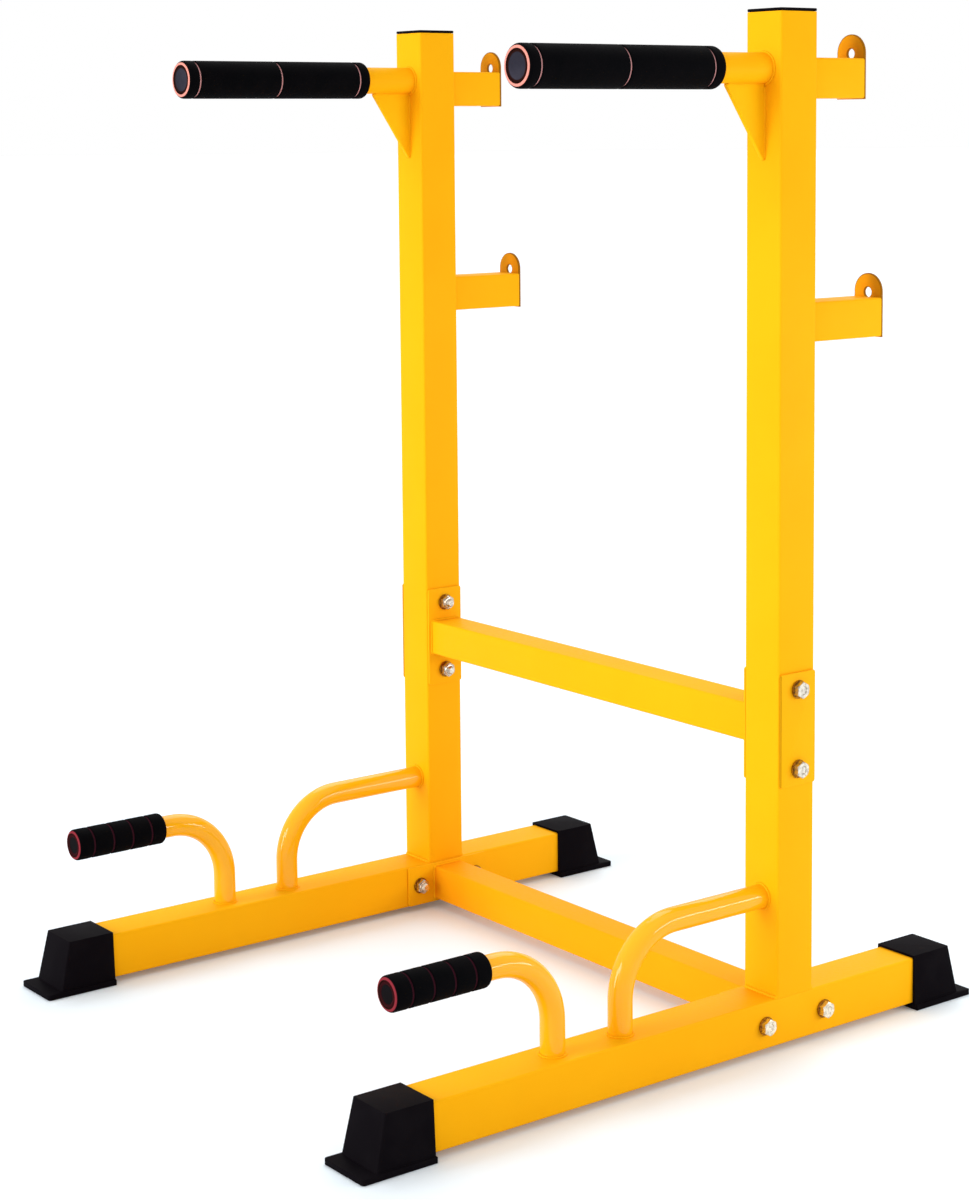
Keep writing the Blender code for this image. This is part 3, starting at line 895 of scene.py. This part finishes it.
def layWeld(node, corners, closed, radius):
    spots = spotsAlong(corners, closed)
    line = bpy.data.curves.new("bead", "CURVE")
    line.dimensions = "3D"
    line.bevel_depth = radius
    line.bevel_resolution = bead["sideSteps"]
    line.use_fill_caps = not closed
    spline = line.splines.new("POLY")
    spline.points.add(len(spots) - 1)
    for point, (place, distance) in zip(spline.points, spots):
        point.co = (*place, 1)
        ripple = math.cos(2 * math.pi * distance / bead["ripple"])
        drift = math.sin(distance * bead["driftRate"]) * bead["drift"]
        point.radius = 1 + bead["swell"] * (ripple + drift) / (1 + bead["drift"])
    spline.use_cyclic_u = closed
    piece = bpy.data.objects.new("bead", line)
    bpy.context.scene.collection.objects.link(piece)
    takeUp(piece)
    bpy.ops.object.convert(target="MESH")
    bothSides(bpy.context.object, node, paint, bead["smooth"], stands=False)


def weldRing(node, centre, upward, tubeRadius):
    radius = tubeRadius + tubeBead["spread"]
    turns = [2 * math.pi * i / bead["ringSteps"] for i in range(bead["ringSteps"])]
    ring = [centre + right * (radius * math.cos(t)) + upward * (radius * math.sin(t)) for t in turns]
    layWeld(node, ring, True, tubeBead["radius"])


def weldSquare(node, centre, across, upward, halfAcross, halfUp, corner, radius):
    places = []
    for signX, signY, begin in ((1, 1, 0), (-1, 1, 90), (-1, -1, 180), (1, -1, 270)):
        for turned in (0, 30, 60, 90):
            turn = math.radians(begin + turned)
            x = signX * (halfAcross - corner) + corner * math.cos(turn)
            y = signY * (halfUp - corner) + corner * math.sin(turn)
            places.append(centre + across * x + upward * y)
    layWeld(node, places, True, radius)


postFace, postBack, postHalf, baseTop = postLow.y, postHigh.y, (postHigh.x - postLow.x) / 2, baseHigh.z
weldSquare("right_post_weld", Vector((sideX, postY, baseTop + postBead["lift"])), right, -front,
           postHalf - postBead["tuck"], postHalf + postBead["spread"], postBead["corner"], postBead["radius"])

offFace, offTop = postFace - tubeBead["off"], baseTop + tubeBead["off"]
weldRing("right_dip_weld", Vector((sideX, offFace, dipZ)), up, dipTubeRadius)

edgeY, topZ = postFace - gussetBead["off"], gussetHigh.z + gussetBead["beside"]
for side, sign in (("outer", 1), ("inner", -1)):
    edgeX = sideX + sign * ((gussetHigh.x - gussetLow.x) / 2 + gussetBead["beside"])
    layWeld(f"right_gusset_{side}_weld", [(edgeX, edgeY, gussetHigh.z - gussetBead["fromTop"]),
                                          (edgeX, edgeY, gussetLow.z + gussetBead["fromFoot"])],
            False, gussetBead["radius"])
    layWeld(f"right_gusset_{side}_top_weld", [(edgeX, gussetLow.y + gussetBead["fromNose"], topZ),
                                              (edgeX, postFace - gussetBead["fromTop"], topZ)],
            False, gussetBead["topRadius"])

for level in ("upper", "lower"):
    armLow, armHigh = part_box(f"right_{level}_arm")
    armHalf = (armHigh.x - armLow.x) / 2 + squareBead["spread"]
    armCentre = Vector((sideX, postBack + squareBead["off"], (armLow.z + armHigh.z) / 2))
    weldSquare(f"right_{level}_arm_weld", armCentre, right, up, armHalf, armHalf,
               squareBead["corner"], squareBead["armRadius"])

weldRing("right_pushup_weld", Vector((sideX, pushLegY, offTop)), front, handleRadius)
weldRing("right_brace_foot_weld", Vector((sideX, braceLegY, offTop)), front, handleRadius)
weldRing("right_brace_post_weld", Vector((sideX, offFace, handleZ)), up, handleRadius)

for level in ("upper", "lower"):
    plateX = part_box(f"{level}_crossbar_right_plate")[0].x
    railLow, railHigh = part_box(f"{level}_crossbar")
    railHalf = (railHigh.z - railLow.z) / 2 + squareBead["spread"]
    railCentre = Vector((plateX - squareBead["off"], postY, (railLow.z + railHigh.z) / 2))
    weldSquare(f"right_{level}_crossbar_weld", railCentre, front, up, railHalf, railHalf,
               squareBead["corner"], squareBead["crossbarRadius"])
print("welds laid")


# Camera at the photograph's place: it looks down a little, and its axis meets the picture a third down

camera = {
    "place": (2.1997, -1.6615, 0.9848), "azimuth": 52.98, "down": 6.26, "roll": 0.52,
    "focalPixels": 2475.81, "frameHeight": 1200, "middleRow": 400, "sensorHeight": 24, "clipEnd": 100,
}


def placeCamera():
    azimuth, down, roll = (math.radians(camera[key]) for key in ("azimuth", "down", "roll"))
    look = Vector((-math.sin(azimuth) * math.cos(down), math.cos(azimuth) * math.cos(down), -math.sin(down)))
    level = Vector((math.cos(azimuth), math.sin(azimuth), 0))
    below = look.cross(level)
    across = level * math.cos(roll) + below * math.sin(roll)
    under = below * math.cos(roll) - level * math.sin(roll)
    turn = Matrix((across, -under, -look)).transposed()
    lens = bpy.data.cameras.new("photoCamera")
    lens.sensor_fit = "VERTICAL"
    lens.sensor_height = camera["sensorHeight"]
    lens.lens = camera["sensorHeight"] * camera["focalPixels"] / camera["frameHeight"]
    lens.shift_y = camera["middleRow"] / camera["frameHeight"] - 0.5
    lens.clip_end = camera["clipEnd"]
    eye = bpy.data.objects.new("photoCamera", lens)
    eye.matrix_world = Matrix.Translation(camera["place"]) @ turn.to_4x4()
    bpy.context.scene.collection.objects.link(eye)
    bpy.context.scene.camera = eye


placeCamera()


# Soft studio light, pale floor and white surroundings

studio = {
    "worldLevel": 0.71, "floorSize": 200, "floorDrop": 0.0005, "floorLift": 0.07,
    "floorShown": (0.845, 0.925, 0.98, 1), "floorBounce": (0.80, 0.80, 0.80, 1),
    "farLights": (
        {"name": "frontLight", "place": (-0.64, -3.80, 1.00), "angle": 32, "level": 0.66},
        {"name": "topLight", "place": (-1.60, 1.84, 3.16), "angle": 50, "level": 0.42},
    ),  # a level of 1 shows a white surface that faces the light as white
    "lamp": {
        "name": "sideLamp", "place": (1.8, 1.20, 0.62), "aim": (0, 0, 0.5), "width": 1.3, "height": 0.25,
        "power": 13,
    },
}


def hangLight(name, kind, place, aim):
    light = bpy.data.lights.new(name, kind)
    stand = bpy.data.objects.new(name, light)
    stand.location = place
    stand.rotation_euler = (Vector(aim) - Vector(place)).to_track_quat("-Z", "Y").to_euler()
    bpy.context.scene.collection.objects.link(stand)
    return light


# 1 for a ray that shows the background: straight from the camera, off gloss or through glass
def showsBackground(recipe):
    shown = recipe.add("ShaderNodeLightPath", output="Is Camera Ray")
    for kind in ("Is Glossy Ray", "Is Transmission Ray"):
        shown = shown.orMore(recipe.add("ShaderNodeLightPath", output=kind))
    return shown


def lightStudio():
    bpy.context.scene.view_settings.view_transform = "Standard"
    world = bpy.data.worlds.new("studioWorld")
    bpy.context.scene.world = world
    recipe = Recipe(world)
    level = recipe.add("ShaderNodeMapRange", inputs={
        "Value": showsBackground(recipe), "To Min": studio["worldLevel"], "To Max": 1.0})
    sky = recipe.nodes["Background"]
    recipe.feed(sky.inputs["Color"], (1, 1, 1, 1))
    recipe.feed(sky.inputs["Strength"], level)
    for far in studio["farLights"]:
        light = hangLight(far["name"], "SUN", far["place"], (0, 0, 0))
        light.angle = math.radians(far["angle"])
        light.energy = far["level"] * math.pi
    lamp = studio["lamp"]
    light = hangLight(lamp["name"], "AREA", lamp["place"], lamp["aim"])
    light.shape = "RECTANGLE"
    light.size = lamp["width"]
    light.size_y = lamp["height"]
    light.energy = lamp["power"]


def layFloor():
    bpy.ops.object.select_all(action="DESELECT")
    bpy.ops.mesh.primitive_plane_add(size=studio["floorSize"], location=(0, 0, -studio["floorDrop"]))
    floor = settle("studioFloor")
    recipe = Recipe(bpy.data.materials.new("studioFloor"))
    recipe.nodes.remove(recipe.nodes["Principled BSDF"])
    shown = showsBackground(recipe)
    colour = recipe.blendColours(shown, studio["floorBounce"], studio["floorShown"])
    matt = recipe.add("ShaderNodeBsdfDiffuse", inputs={"Color": colour})
    glow = recipe.add("ShaderNodeEmission", inputs={"Strength": shown * studio["floorLift"]})
    both = recipe.add("ShaderNodeAddShader", inputs={0: matt, 1: glow})
    recipe.feed(recipe.nodes["Material Output"].inputs["Surface"], both)
    floor.data.materials.append(recipe.owner)


lightStudio()
layFloor()
print("studio lit")
